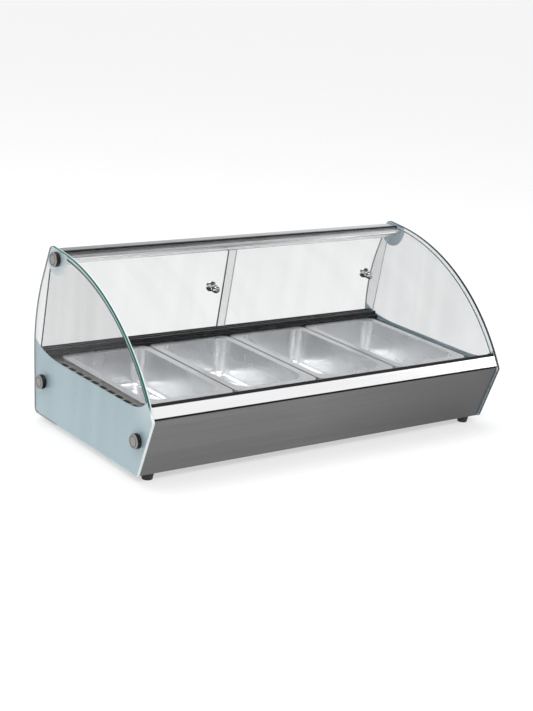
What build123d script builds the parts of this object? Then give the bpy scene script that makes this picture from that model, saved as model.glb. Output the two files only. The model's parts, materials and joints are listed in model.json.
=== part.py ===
"""Countertop hot food display case: curved front glass, glass cheeks, sliding rear doors, four pans.

Millimetres, +Z up, front of the case towards -Y. The origin is the centre of the footprint, with the
soles of the feet on z = 0. Sections that run the width of the case are drawn on Plane.YZ, where the
sketch's own x is depth (front to back) and its y is height.
"""

import os
from math import asin, cos, degrees, radians, sin, sqrt, tan

from build123d import *

os.makedirs("parts", exist_ok=True)

# ---------------------------------------------------------------- driving dimensions
WIDTH = 708.0  # over the outer faces of the two glass cheeks
GLASS_T = 5.0  # cheek thickness
GLASS_GAP = 1.0  # washer thickness between a cheek and the metalwork
FOOT_H = 11.0
SHEET = 1.2  # stainless sheet

INNER_X = WIDTH / 2 - GLASS_T  # inner face of a cheek
BODY_X = INNER_X - GLASS_GAP  # outer face of the metal body

# cheek outline, in (depth, height)
TOE = (-149.0, FOOT_H)  # bottom front corner
NOSE_Z = 107.0  # height of the front-most corner
CURVE_C = (138.0, -66.5)  # centre of the big front curve
CURVE_R = 364.5
CURVE_END = 95.0  # angle where the front curve runs out straight to the crown
CROWN = (142.4, 299.8)  # top rear corner, before it is rounded
REAR_C = (-97.0, 141.0)
REAR_R = 280.0
REAR_END = 20.7  # angle where the rear curve runs out straight to the crown
REAR_LEAN = 5.5  # lean of the straight rear edge, degrees

# standing glass and doors
FRONT_GLASS_T = 6.0
FRONT_GLASS_R = CURVE_R - 4.0  # outer face
DOOR_T = 4.0
DOOR_PITCH = 9.0  # from one door's plane to the other's
DOOR_LEAN = 8.0  # degrees, tops towards the front
DOOR_FOOT = (155.95, 120.0)  # front door's plane at this height
DOOR_W = 358.7
DOOR_LOW, DOOR_HIGH = 1.3, 155.0  # along the lean, from DOOR_FOOT
TRACK_HIGH, TRACK_TOP = 150.0, 158.0

# food pans, quarter gastronorm size
PAN_W, PAN_L, PAN_DEPTH = 162.0, 265.0, 65.0
PAN_PITCH = 165.0
PAN_T = 1.0
PAN_FRONT_Y = -126.0
DECK_Z = 109.5  # top face of the deck
RIM_Z = DECK_Z + 5.0  # top face of a pan's rim
OPENING_X, OPENING_Y = 644.0, 253.0
PAN_MID_Y = PAN_FRONT_Y + PAN_L / 2

# base
BASE_Z = FOOT_H + 0.2
FRONT_INSET = 2.5  # front panel behind the cheek's edge
LIP_Z = 109.0  # top of the front panel
GROOVE = 3.0  # open joint between front panel and ledge
REAR_Y = 170.0  # outer face of the rear panel
SILL_Z = 117.5
WELL_X, WELL_Y0, WELL_Y1, WELL_Z = 332.0, -130.0, 140.0, 30.0

# fixings
BOLTS = [(-147.0, 69.0), (146.0, 71.0), (117.0, 282.0)]  # cheek bolts, in (depth, height)
BOLT_R, BOLT_HEAD_R, BOLT_HEAD_H = 3.0, 12.0, 8.0

# controls on the rear panel
KNOB_X, CONTROL_Z = 240.0, 62.0
SWITCH_X = [180.0, 145.0]
LAMP_X = 115.0
GLAND_X, GLAND_Z = -280.0, 46.0
ROCKER_R, ROCKER_TILT = 10.4, 8.0

pieces = {}


# ---------------------------------------------------------------- helpers
def polar(centre, radius, angle):
    """A point at an angle round a centre, in (depth, height)."""
    return (centre[0] + radius * cos(radians(angle)), centre[1] + radius * sin(radians(angle)))


def curve_angle(radius, height):
    """Angle round the front curve's centre at which a concentric arc reaches a height."""
    return 180 - degrees(asin((height - CURVE_C[1]) / radius))


def front_y(height, inset=0.0):
    """Depth of the cheek's sloping front edge at a height, moved square to itself by inset."""
    nose = polar(CURVE_C, CURVE_R, curve_angle(CURVE_R, NOSE_Z))
    slope = (nose[0] - TOE[0]) / (nose[1] - TOE[1])
    return TOE[0] + slope * (height - TOE[1]) + inset * sqrt(1 + slope * slope)


def door_point(across, up):
    """A point beside the leaning doors: across from the front door's plane, up along the lean."""
    lean = radians(DOOR_LEAN)
    return (
        DOOR_FOOT[0] + across * cos(lean) - up * sin(lean),
        DOOR_FOOT[1] + across * sin(lean) + up * cos(lean),
    )


def door_plane(across):
    """The plane of a door: sketch x along the case, sketch y up the lean, normal to the front."""
    lean = radians(DOOR_LEAN)
    depth, height = door_point(across, 0)
    return Plane(origin=(0, depth, height), x_dir=(1, 0, 0), z_dir=(0, -cos(lean), -sin(lean)))


def polygon(points):
    """A flat face with straight edges through the points."""
    with BuildSketch() as face:
        with BuildLine():
            Polyline(*points, close=True)
        make_face()
    return face.sketch


def folded(points, bend, side=Side.LEFT, thick=SHEET):
    """Section of a folded sheet whose outer skin runs through the points."""
    with BuildSketch() as face:
        with BuildLine():
            FilletPolyline(*points, radius=bend)
            offset(amount=thick, side=side)
        make_face()
    return face.sketch


def arc_band(outer, inner, start, end):
    """Section of a curved strip concentric with the front curve."""
    with BuildSketch() as face:
        with BuildLine():
            far = CenterArc(CURVE_C, outer, start, end - start)
            near = CenterArc(CURVE_C, inner, start, end - start)
            Line(far @ 0, near @ 0)
            Line(far @ 1, near @ 1)
        make_face()
    return face.sketch


def both_sides(name, right):
    """Keep a right-hand piece and its mirror image as two nodes."""
    pieces[name + "_right"] = right
    with BuildPart() as left:
        mirror(right.part, about=Plane.YZ)
    pieces[name + "_left"] = left


# ---------------------------------------------------------------- glass cheeks and their bolts
NOSE = polar(CURVE_C, CURVE_R, curve_angle(CURVE_R, NOSE_Z))
CURVE_TOP = polar(CURVE_C, CURVE_R, CURVE_END)
REAR_TOP = polar(REAR_C, REAR_R, REAR_END)
TAIL = polar(REAR_C, REAR_R, -REAR_LEAN)
HEEL = (TAIL[0] - (TAIL[1] - FOOT_H) * tan(radians(REAR_LEAN)), FOOT_H)

with BuildPart() as cheek:
    with BuildSketch(Plane.YZ.offset(INNER_X)) as outline:
        with BuildLine():
            Line(TOE, NOSE)
            CenterArc(CURVE_C, CURVE_R, CURVE_END, curve_angle(CURVE_R, NOSE_Z) - CURVE_END)
            Polyline(CURVE_TOP, CROWN, REAR_TOP)
            ThreePointArc(REAR_TOP, polar(REAR_C, REAR_R, 8), TAIL)
            Line(TAIL, HEEL)
            Line(HEEL, TOE)
        make_face()
        for corner, radius in ((TOE, 5), (NOSE, 5), (CROWN, 12), (HEEL, 9)):
            fillet(outline.vertices().sort_by_distance(corner)[0], radius)
        with Locations(*BOLTS):
            Circle(BOLT_R + 1.2, mode=Mode.SUBTRACT)
    extrude(amount=GLASS_T)
    for face in (cheek.faces().sort_by(Axis.X)[0], cheek.faces().sort_by(Axis.X)[-1]):
        chamfer(face.outer_wire().edges(), 0.6)
both_sides("side_glass", cheek)

# a bolt is a stepped round head with a shadow groove and a ring turned into its face, and a shank
BOLT_FACE = WIDTH / 2 + GLASS_GAP
with BuildPart() as cheek_bolts:
    for start, end, radius in (
        (BOLT_FACE, BOLT_FACE + 2.4, BOLT_HEAD_R),
        (BOLT_FACE + 2.4, BOLT_FACE + 3.2, BOLT_HEAD_R - 1.6),
        (BOLT_FACE + 3.2, BOLT_FACE + BOLT_HEAD_H, BOLT_HEAD_R),
        (BODY_X - 3.8, BOLT_FACE, BOLT_R),
    ):
        with BuildSketch(Plane.YZ.offset(start)):
            with Locations(*BOLTS):
                Circle(radius)
        extrude(amount=end - start)
    chamfer(cheek_bolts.faces().sort_by(Axis.X)[-3:].edges(), 1.1)
    with BuildSketch(Plane.YZ.offset(BOLT_FACE + BOLT_HEAD_H)):
        with Locations(*BOLTS):
            Circle(8.8)
            Circle(7.8, mode=Mode.SUBTRACT)
    extrude(amount=-0.6, mode=Mode.SUBTRACT)
    mirror(about=Plane.YZ)
pieces["cheek_bolts"] = cheek_bolts

with BuildPart() as cheek_washers:
    for start, radius in ((INNER_X - GLASS_GAP, 5.0), (WIDTH / 2, 10.0)):
        with BuildSketch(Plane.YZ.offset(start)):
            with Locations(*BOLTS):
                Circle(radius)
                Circle(BOLT_R + 0.1, mode=Mode.SUBTRACT)
        extrude(amount=GLASS_GAP)
    mirror(about=Plane.YZ)
pieces["cheek_washers"] = cheek_washers

# ---------------------------------------------------------------- front glass, ledge and front panel
GASKET_ANGLE = 180 - 33.0
LEDGE_ANGLE = 180 - 32.15
LEDGE_R = CURVE_R - 1.0
LEDGE_Z = LIP_Z + GROOVE
GLASS_END_Y = 113.2
GLASS_TOP_ANGLE = 90 + degrees(asin((CURVE_C[0] - GLASS_END_Y) / FRONT_GLASS_R))

with BuildPart() as front_glass:
    with BuildSketch(Plane.YZ):
        add(arc_band(FRONT_GLASS_R, FRONT_GLASS_R - FRONT_GLASS_T, GLASS_TOP_ANGLE, GASKET_ANGLE))
    extrude(amount=INNER_X - 0.5, both=True)
    chamfer(front_glass.edges().filter_by(Axis.X), 0.5)
pieces["front_glass"] = front_glass

with BuildPart() as glass_gasket:
    with BuildSketch(Plane.YZ):
        add(arc_band(FRONT_GLASS_R + 2.2, FRONT_GLASS_R - FRONT_GLASS_T - 1.4, LEDGE_ANGLE, GASKET_ANGLE))
    extrude(amount=INNER_X - 0.5, both=True)
pieces["glass_gasket"] = glass_gasket

LEDGE_TOP_IN = polar(CURVE_C, FRONT_GLASS_R - FRONT_GLASS_T - 2.5, LEDGE_ANGLE)
with BuildPart() as front_ledge:
    with BuildSketch(Plane.YZ) as ledge_section:
        with BuildLine():
            sweep_end = curve_angle(LEDGE_R, LEDGE_Z)
            skin = CenterArc(CURVE_C, LEDGE_R, LEDGE_ANGLE, sweep_end - LEDGE_ANGLE)
            Polyline(skin @ 1, (LEDGE_TOP_IN[0], LEDGE_Z), LEDGE_TOP_IN, skin @ 0)
        make_face()
        offset(amount=-1.8, mode=Mode.SUBTRACT)
    extrude(amount=INNER_X - 0.5, both=True)
pieces["front_ledge"] = front_ledge

with BuildPart() as ledge_seal:
    with BuildSketch(Plane.YZ):
        add(polygon([(-177.3, LIP_Z), (-161.0, LIP_Z), (-161.0, LEDGE_Z), (-177.3, LEDGE_Z)]))
    extrude(amount=INNER_X - 0.5, both=True)
pieces["ledge_seal"] = ledge_seal

FRONT_SCREWS = [(x, -134.0) for x in (-250.0, -85.0, 85.0, 250.0)]
REAR_SCREWS = [(x, 150.0) for x in (-250.0, -85.0, 85.0, 250.0)]
FEET = [(x, y) for x in (-326.0, 326.0) for y in (-135.0, 153.0)]
with BuildPart() as front_panel:
    with BuildSketch(Plane.YZ):
        add(
            folded(
                [
                    (-122.0, BASE_Z),
                    (front_y(BASE_Z, FRONT_INSET), BASE_Z),
                    (front_y(LIP_Z, FRONT_INSET), LIP_Z),
                    (-160.4, LIP_Z),
                ],
                1.6,
                Side.RIGHT,
            )
        )
    extrude(amount=BODY_X - 0.2, both=True)
    with BuildSketch(Plane.XY):
        with Locations(*FRONT_SCREWS, *FEET):
            Circle(2.2)
    extrude(amount=BASE_Z + 2, mode=Mode.SUBTRACT)
pieces["front_panel"] = front_panel

# ---------------------------------------------------------------- base
TRAY_Z = BASE_Z + SHEET
with BuildPart() as base_tray:
    with BuildSketch(Plane.YZ):
        add(
            folded(
                [
                    (REAR_Y - SHEET - 0.2, TRAY_Z + 12),
                    (REAR_Y - SHEET - 0.2, TRAY_Z),
                    (front_y(TRAY_Z, 5.0), TRAY_Z),
                    (front_y(TRAY_Z + 14, 5.0), TRAY_Z + 14),
                ],
                1.6,
                Side.RIGHT,
            )
        )
    extrude(amount=BODY_X - SHEET - 0.2, both=True)
    with BuildSketch(Plane.XY):
        with Locations(*FRONT_SCREWS, *REAR_SCREWS, *FEET):
            Circle(2.2)
        with Locations((0, 5)):
            with GridLocations(60, 22, 9, 4):
                SlotOverall(34, 6)
    extrude(amount=TRAY_Z + 2, mode=Mode.SUBTRACT)
pieces["base_tray"] = base_tray

# an end wall closes the base beside the cheek, with a flange for the rear panel's screws
FLANGE_X = BODY_X - 14
REAR_PANEL_SCREWS = [(x, z) for x in (-341.0, 341.0) for z in (30.0, 92.0)]
with BuildPart() as end_wall:
    with BuildSketch(Plane.YZ.offset(BODY_X - SHEET)):
        add(
            polygon(
                [
                    (front_y(TRAY_Z, 6.0), TRAY_Z),
                    (front_y(LIP_Z - 3, 6.0), LIP_Z - 3),
                    (-157.0, DECK_Z - SHEET),
                    (REAR_Y - SHEET - 0.7, DECK_Z - SHEET),
                    (REAR_Y - SHEET - 0.7, TRAY_Z),
                ]
            )
        )
        with Locations(*BOLTS[:2]):
            Circle(BOLT_R + 0.1, mode=Mode.SUBTRACT)
    extrude(amount=SHEET)
    with BuildSketch(Plane.XZ.offset(-(REAR_Y - SHEET - 0.1))):
        with Locations(((FLANGE_X + BODY_X) / 2, (TRAY_Z + 22 + DECK_Z - SHEET) / 2)):
            Rectangle(BODY_X - FLANGE_X, DECK_Z - SHEET - TRAY_Z - 22)
        with Locations(*REAR_PANEL_SCREWS):
            Circle(1.8, mode=Mode.SUBTRACT)
    extrude(amount=SHEET)
both_sides("end_wall", end_wall)

with BuildPart() as bolt_nuts:
    for side in (-1, 1):
        with BuildSketch(Plane.YZ.offset(side * (BODY_X - SHEET))):
            with Locations(*BOLTS[:2]):
                RegularPolygon(5.5, 6)
                Circle(BOLT_R + 0.05, mode=Mode.SUBTRACT)
        extrude(amount=-side * 5)
pieces["bolt_nuts"] = bolt_nuts

VENT_X = [-150.0, -60.0, 30.0]
with BuildPart() as rear_panel:
    with BuildSketch(Plane.YZ):
        add(
            folded(
                [(138.0, BASE_Z), (REAR_Y, BASE_Z), (REAR_Y, DECK_Z - SHEET)],
                1.6,
                Side.LEFT,
            )
        )
    extrude(amount=BODY_X - 0.2, both=True)
    with BuildSketch(Plane.XZ.offset(-REAR_Y - 1)):
        with Locations(*REAR_PANEL_SCREWS):
            Circle(1.9)
        with Locations((KNOB_X, CONTROL_Z)):
            Circle(5.0)
        with Locations(*[(x, CONTROL_Z) for x in SWITCH_X]):
            Rectangle(18.4, 25.4)
        with Locations((LAMP_X, CONTROL_Z)):
            Circle(5.1)
        with Locations((GLAND_X, GLAND_Z)):
            Circle(8.1)
        for x in VENT_X:
            with Locations((x, CONTROL_Z)):
                with GridLocations(10, 9, 1, 6):
                    SlotOverall(60, 3.6)
    extrude(amount=4, mode=Mode.SUBTRACT)
    with BuildSketch(Plane.XY):
        with Locations(*REAR_SCREWS, *FEET):
            Circle(2.2)
    extrude(amount=BASE_Z + 2, mode=Mode.SUBTRACT)
pieces["rear_panel"] = rear_panel

with BuildPart() as rear_screws:
    with BuildSketch(Plane.XZ.offset(-REAR_Y)):
        with Locations(*REAR_PANEL_SCREWS):
            Circle(3.4)
    extrude(amount=-1.8)
    fillet(rear_screws.faces().sort_by(Axis.Y)[-4:].edges(), 0.9)
    with BuildSketch(Plane.XZ.offset(-REAR_Y)):
        with Locations(*REAR_PANEL_SCREWS):
            Circle(1.75)
    extrude(amount=6)
    with BuildSketch(Plane.XZ.offset(-REAR_Y - 1.8)):
        with Locations(*REAR_PANEL_SCREWS):
            Rectangle(3.4, 0.7)
            Rectangle(0.7, 3.4)
    extrude(amount=1.0, mode=Mode.SUBTRACT)
pieces["rear_screws"] = rear_screws

with BuildPart() as base_screws:
    with BuildSketch(Plane.XY.offset(BASE_Z)):
        with Locations(*FRONT_SCREWS, *REAR_SCREWS):
            Circle(4.0)
    extrude(amount=-2.0)
    fillet(base_screws.faces().sort_by(Axis.Z)[:8].edges(), 0.9)
    with BuildSketch(Plane.XY.offset(BASE_Z)):
        with Locations(*FRONT_SCREWS, *REAR_SCREWS):
            Circle(2.1)
    extrude(amount=7)
pieces["base_screws"] = base_screws

FOOT_R = 10.5
with BuildPart() as feet:
    for spot in FEET:
        with BuildSketch(Plane.XY):
            with Locations(spot):
                Circle(FOOT_R - 2)
        extrude(amount=2.0)
        with BuildSketch(Plane.XY.offset(2.0)):
            with Locations(spot):
                Circle(FOOT_R - 2)
        with BuildSketch(Plane.XY.offset(BASE_Z)):
            with Locations(spot):
                Circle(FOOT_R)
        loft()
    fillet(feet.edges().group_by(Axis.Z)[0], 1.0)
    for radius, depth in ((4.5, 5.0), (2.15, BASE_Z)):
        with BuildSketch(Plane.XY):
            with Locations(*FEET):
                Circle(radius)
        extrude(amount=depth, mode=Mode.SUBTRACT)
pieces["feet"] = feet

with BuildPart() as foot_screws:
    with BuildSketch(Plane.XY.offset(2.2)):
        with Locations(*FEET):
            Circle(4.2)
    extrude(amount=2.8)
    with BuildSketch(Plane.XY.offset(2.2)):
        with Locations(*FEET):
            Circle(2.1)
    extrude(amount=16)
    with BuildSketch(Plane.XY.offset(2.2)):
        with Locations(*FEET):
            Rectangle(5.0, 0.9)
            Rectangle(0.9, 5.0)
    extrude(amount=1.2, mode=Mode.SUBTRACT)
pieces["foot_screws"] = foot_screws

# ---------------------------------------------------------------- deck, pan bars and rear sill
SLOT_X = 337.0
UPSTAND_Y = LEDGE_TOP_IN[0] + 0.3
with BuildPart() as deck:
    with BuildSketch(Plane.XY.offset(DECK_Z - SHEET)):
        with Locations((0, (UPSTAND_Y + REAR_Y - SHEET) / 2)):
            Rectangle(2 * BODY_X, REAR_Y - SHEET - UPSTAND_Y)
        with Locations((0, PAN_MID_Y)):
            RectangleRounded(OPENING_X, OPENING_Y, 12, mode=Mode.SUBTRACT)
        for side in (-1, 1):
            with Locations((side * SLOT_X, -4.0)):
                with GridLocations(10, 24.1, 1, 10):
                    SlotOverall(20, 8.0, rotation=90, mode=Mode.SUBTRACT)
    extrude(amount=SHEET)
    with BuildSketch(Plane.YZ):
        with Locations((UPSTAND_Y + SHEET / 2, (DECK_Z + LEDGE_TOP_IN[1]) / 2)):
            Rectangle(SHEET, LEDGE_TOP_IN[1] - DECK_Z)
    extrude(amount=BODY_X, both=True)
pieces["deck"] = deck

BAR_X = [PAN_PITCH * i for i in (-1, 0, 1)]
with BuildPart() as pan_bars:
    with BuildSketch(Plane.XY.offset(DECK_Z - SHEET)):
        with Locations(*[(x, PAN_MID_Y) for x in BAR_X]):
            Rectangle(15, OPENING_Y - 0.4)
    extrude(amount=SHEET)
    with BuildSketch(Plane.XY.offset(DECK_Z - SHEET)):
        with Locations(*[(x + s * (7.5 - SHEET / 2), PAN_MID_Y) for x in BAR_X for s in (-1, 1)]):
            Rectangle(SHEET, OPENING_Y + 10)
    extrude(amount=-9)
pieces["pan_bars"] = pan_bars

SILL_FRONT_Y = 141.5
with BuildPart() as rear_sill:
    with BuildSketch(Plane.YZ):
        add(
            folded(
                [
                    (SILL_FRONT_Y, DECK_Z),
                    (SILL_FRONT_Y, SILL_Z),
                    (REAR_Y + SHEET + 0.1, SILL_Z),
                    (REAR_Y + SHEET + 0.1, 98.0),
                ],
                1.6,
                Side.RIGHT,
            )
        )
    extrude(amount=BODY_X, both=True)
pieces["rear_sill"] = rear_sill

# ---------------------------------------------------------------- doors in their tracks
GROOVE_W = 5.4
FRONT_GROOVE_Y, REAR_GROOVE_Y = door_point(0, 1)[0], door_point(DOOR_PITCH, -0.25)[0]
with BuildPart() as door_track_bottom:
    with BuildSketch(Plane.YZ) as track_section:
        with Locations(((148.5 + 171.2) / 2, SILL_Z)):
            Rectangle(171.2 - 148.5, 5.5, align=(Align.CENTER, Align.MIN))
        fillet(track_section.vertices().group_by(Axis.Y)[-1], 0.8)
        with Locations(*[(y, SILL_Z + 1.5) for y in (FRONT_GROOVE_Y, REAR_GROOVE_Y)]):
            Rectangle(GROOVE_W, 5.0, align=(Align.CENTER, Align.MIN), mode=Mode.SUBTRACT)
    extrude(amount=BODY_X + 0.4, both=True)
pieces["door_track_bottom"] = door_track_bottom

with BuildPart() as door_track_top:
    with BuildSketch(Plane.YZ):
        add(polygon([door_point(a, u) for a, u in
                     ((-4.5, TRACK_HIGH), (DOOR_PITCH + 4.0, TRACK_HIGH),
                      (DOOR_PITCH + 4.0, TRACK_TOP), (-4.5, TRACK_TOP))]))
        for across in (0, DOOR_PITCH):
            low, high = TRACK_HIGH - 1, DOOR_HIGH + 1.4
            corners = [(across - 2.5, low), (across + 2.5, low), (across + 2.5, high), (across - 2.5, high)]
            add(polygon([door_point(a, u) for a, u in corners]), mode=Mode.SUBTRACT)
    extrude(amount=BODY_X + 0.4, both=True)
pieces["door_track_top"] = door_track_top

# each door has one round knob near its right-hand edge, on the staff side
RIGHT_MID = BODY_X - 1.3 - DOOR_W / 2
LEFT_MID = -(BODY_X + 0.2) + DOOR_W / 2
KNOB_UP = 75.7
SHOE_IN, SHOE_W = 45.0, 30.0  # middle of a shoe from the door's edge, and its length
DOOR_TRAVEL = 150.0
KNOB_IN = {"left": 31.0, "right": 27.0}  # from the door's right-hand edge
DOORS = {"left": (LEFT_MID, DOOR_PITCH), "right": (RIGHT_MID, 0.0)}
for name, (middle, across) in DOORS.items():
    knob_x = middle + DOOR_W / 2 - KNOB_IN[name]
    drop = across * tan(radians(DOOR_LEAN))
    knob_up, low = KNOB_UP - drop, DOOR_LOW - drop
    plane = door_plane(across)
    with BuildPart() as door:
        with BuildSketch(plane):
            with Locations((middle, low)):
                Rectangle(DOOR_W, DOOR_HIGH - low, align=(Align.CENTER, Align.MIN))
            with Locations((knob_x, knob_up)):
                Circle(3.6, mode=Mode.SUBTRACT)
        extrude(amount=DOOR_T / 2, both=True)
        chamfer(door.edges().filter_by(Axis.X), 0.4)
    pieces["door_" + name] = door

    # washer, neck and domed head, turned about the axis square to the glass
    lean = radians(DOOR_LEAN)
    knob_foot = plane.offset(-DOOR_T / 2).from_local_coords(Vector(knob_x, knob_up, 0))
    with BuildPart() as knob:
        with BuildSketch(Plane(origin=knob_foot, x_dir=(1, 0, 0), z_dir=(0, sin(lean), -cos(lean)))):
            with BuildLine():
                Polyline((0, 4.7), (2.4, 4.7), (2.4, -0.1), (7.0, -0.1), (7.0, -2.4), (4.0, -3.8),
                         (4.0, -8.0), (8.2, -10.4))
                Spline((8.2, -10.4), (9.8, -13.2), (8.6, -16.4), (5.0, -18.2), (0, -18.8))
                Line((0, -18.8), (0, 4.7))
            make_face()
        revolve(axis=Axis(knob_foot, (0, -cos(lean), -sin(lean))))
    pieces["door_knob_" + name] = knob

    with BuildPart() as cap:
        with BuildSketch(plane.offset(DOOR_T / 2 + 0.1)):
            with Locations((knob_x, knob_up)):
                Circle(6.5)
        extrude(amount=4.0)
        fillet(cap.faces().sort_by(Axis.Y)[0].edges(), 3.2)
        with BuildSketch(plane.offset(DOOR_T / 2 + 0.1)):
            with Locations((knob_x, knob_up)):
                Circle(2.45)
        extrude(amount=0.8, mode=Mode.SUBTRACT)
    pieces["door_cap_" + name] = cap

    with BuildPart() as shoes:
        with BuildSketch(plane):
            with Locations(*[(middle + s * (DOOR_W / 2 - SHOE_IN), low) for s in (-1, 1)]):
                Rectangle(SHOE_W, 1.7, align=(Align.CENTER, Align.MAX))
        extrude(amount=2.2, both=True)
    pieces["door_shoes_" + name] = shoes

# rubber stops on the floor of each groove catch the outer shoe of a shut door and of an open one
with BuildPart() as door_stops:
    for side, (middle, across), y in ((-1, DOORS["left"], REAR_GROOVE_Y), (1, DOORS["right"], FRONT_GROOVE_Y)):
        shut_end = middle + side * (DOOR_W / 2 - SHOE_IN + SHOE_W / 2 + 3)
        open_end = middle - side * (DOOR_W / 2 - SHOE_IN + SHOE_W / 2 + 3 + DOOR_TRAVEL)
        with BuildSketch(Plane.XY.offset(SILL_Z + 1.5)):
            with Locations((shut_end, y), (open_end, y)):
                Rectangle(5, GROOVE_W - 0.2)
        extrude(amount=1.7)
pieces["door_stops"] = door_stops

# ---------------------------------------------------------------- top rail and lamp
RAIL_TOP = 295.0
SEAT_R = FRONT_GLASS_R - FRONT_GLASS_T - 0.3  # the rebate that the front glass lies in
JOINT_Y = 117.2  # rear side of the black joint at the glass's top edge
NOSE_Y = 101.3
RAIL_X = BODY_X - 4.2
JOINT_ANGLE = 90 + degrees(asin((CURVE_C[0] - JOINT_Y) / SEAT_R))
SEAT_ANGLE = 90 + degrees(asin((CURVE_C[0] - NOSE_Y) / SEAT_R))
RAIL_BACK = [door_point(-4.7, TRACK_TOP + 0.1), door_point(DOOR_PITCH + 3.0, TRACK_TOP + 0.1),
             (140.0, 287.5), (134.5, RAIL_TOP), (JOINT_Y, RAIL_TOP)]
FASCIA = [(NOSE_Y + 0.2, 282.2), (127.2, 268.9), (129.2, 268.9)]


def rail_section(under):
    """The rail's outline, closed along its underside by the points given."""
    with BuildSketch() as face:
        with BuildLine():
            seat = CenterArc(CURVE_C, SEAT_R, JOINT_ANGLE, SEAT_ANGLE - JOINT_ANGLE)
            Polyline(seat @ 1, *under, *RAIL_BACK, seat @ 0)
        make_face()
    return face.sketch


with BuildPart() as top_rail:
    with BuildSketch(Plane.YZ):
        add(rail_section([(NOSE_Y, 283.6), (120.0, 281.5)]))
        add(polygon([(119.5, 284.0), (119.5, 292.8), (133.0, 292.8), (138.0, 286.6), (143.0, 280.3),
                     (131.0, 278.6)]), mode=Mode.SUBTRACT)
    extrude(amount=RAIL_X, both=True)
pieces["top_rail"] = top_rail

with BuildPart() as rail_end:
    with BuildSketch(Plane.YZ.offset(RAIL_X + 0.2)):
        add(rail_section([(NOSE_Y, 283.0), (126.9, 268.4), door_point(-4.7, TRACK_HIGH)]))
        with Locations(BOLTS[2]):
            Circle(BOLT_R + 0.1, mode=Mode.SUBTRACT)
    extrude(amount=BODY_X - RAIL_X - 0.2)
both_sides("rail_end_plate", rail_end)

with BuildPart() as rail_joint:
    with BuildSketch(Plane.YZ):
        with BuildLine():
            low = CenterArc(CURVE_C, SEAT_R + 0.1, JOINT_ANGLE + 0.02, 0.56)
            Polyline(low @ 1, ((low @ 1).X, RAIL_TOP - 0.9), (JOINT_Y - 0.1, RAIL_TOP - 0.9), low @ 0)
        make_face()
    extrude(amount=BODY_X + 0.4, both=True)
pieces["rail_joint"] = rail_joint

WINDOW_X = 330.0
fascia_run = Vector(FASCIA[1][0] - FASCIA[0][0], FASCIA[1][1] - FASCIA[0][1])
fascia_dir = fascia_run.normalized()


def fascia_point(along, into):
    """A point beside the lamp fascia: along it from its front edge, and into the lamp housing."""
    return (
        FASCIA[0][0] + fascia_dir.X * along - fascia_dir.Y * into,
        FASCIA[0][1] + fascia_dir.Y * along + fascia_dir.X * into,
    )


with BuildPart() as lamp_fascia:
    with BuildSketch(Plane.YZ):
        add(folded(FASCIA, 1.2, Side.LEFT, 1.0))
    extrude(amount=RAIL_X - 0.2, both=True)
    with BuildSketch(Plane.YZ):
        add(polygon([fascia_point(a, i) for a, i in ((9, -1), (20, -1), (20, 2), (9, 2))]))
    extrude(amount=WINDOW_X, both=True, mode=Mode.SUBTRACT)
pieces["lamp_fascia"] = lamp_fascia

with BuildPart() as lamp_lens:
    with BuildSketch(Plane.YZ):
        add(polygon([fascia_point(a, i) for a, i in ((9.1, -0.3), (19.9, -0.3), (19.9, 1.5), (9.1, 1.5))]))
    extrude(amount=WINDOW_X - 0.2, both=True)
pieces["lamp_lens"] = lamp_lens

with BuildPart() as led_strip:
    with BuildSketch(Plane.XY.offset(280.8)):
        with Locations((0, 111.5)):
            Rectangle(2 * WINDOW_X - 20, 9)
    extrude(amount=1.0)
    with BuildSketch(Plane.XY.offset(280.8)):
        with Locations((0, 111.5)):
            with GridLocations(20, 10, 32, 1):
                Rectangle(3.5, 3.5)
    extrude(amount=-0.8)
pieces["led_strip"] = led_strip


# ---------------------------------------------------------------- food pans
def pan_shell(centre_x, inset):
    """The pan's bowl as a solid; inset shrinks it to the hollow."""
    with BuildPart() as bowl:
        with BuildSketch(Plane.XY.offset(RIM_Z)):
            with Locations((centre_x, PAN_MID_Y)):
                RectangleRounded(PAN_W - 26 - 2 * inset, PAN_L - 26 - 2 * inset, 24 - inset)
        extrude(amount=-(PAN_DEPTH - inset), taper=4)
        fillet(bowl.faces().sort_by(Axis.Z)[0].edges(), 12 - inset)
    return bowl.part


def food_pan(centre_x):
    """A pressed pan: tapering bowl, flat rim and turned-down edge."""
    outside = pan_shell(centre_x, 0)
    hollow = pan_shell(centre_x, PAN_T)
    with BuildPart() as pan:
        add(outside)
        with BuildSketch(Plane.XY.offset(RIM_Z - PAN_T)):
            with Locations((centre_x, PAN_MID_Y)):
                RectangleRounded(PAN_W, PAN_L, 14)
        extrude(amount=PAN_T)
        with BuildSketch(Plane.XY.offset(DECK_Z + 0.3)):
            with Locations((centre_x, PAN_MID_Y)):
                RectangleRounded(PAN_W, PAN_L, 14)
                RectangleRounded(PAN_W - 2 * PAN_T, PAN_L - 2 * PAN_T, 14 - PAN_T, mode=Mode.SUBTRACT)
        extrude(amount=RIM_Z - DECK_Z - 0.3)
        add(hollow, mode=Mode.SUBTRACT)
    return pan


for number in range(4):
    pieces["food_pan_%d" % (number + 1)] = food_pan(PAN_PITCH * (number - 1.5))

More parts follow.
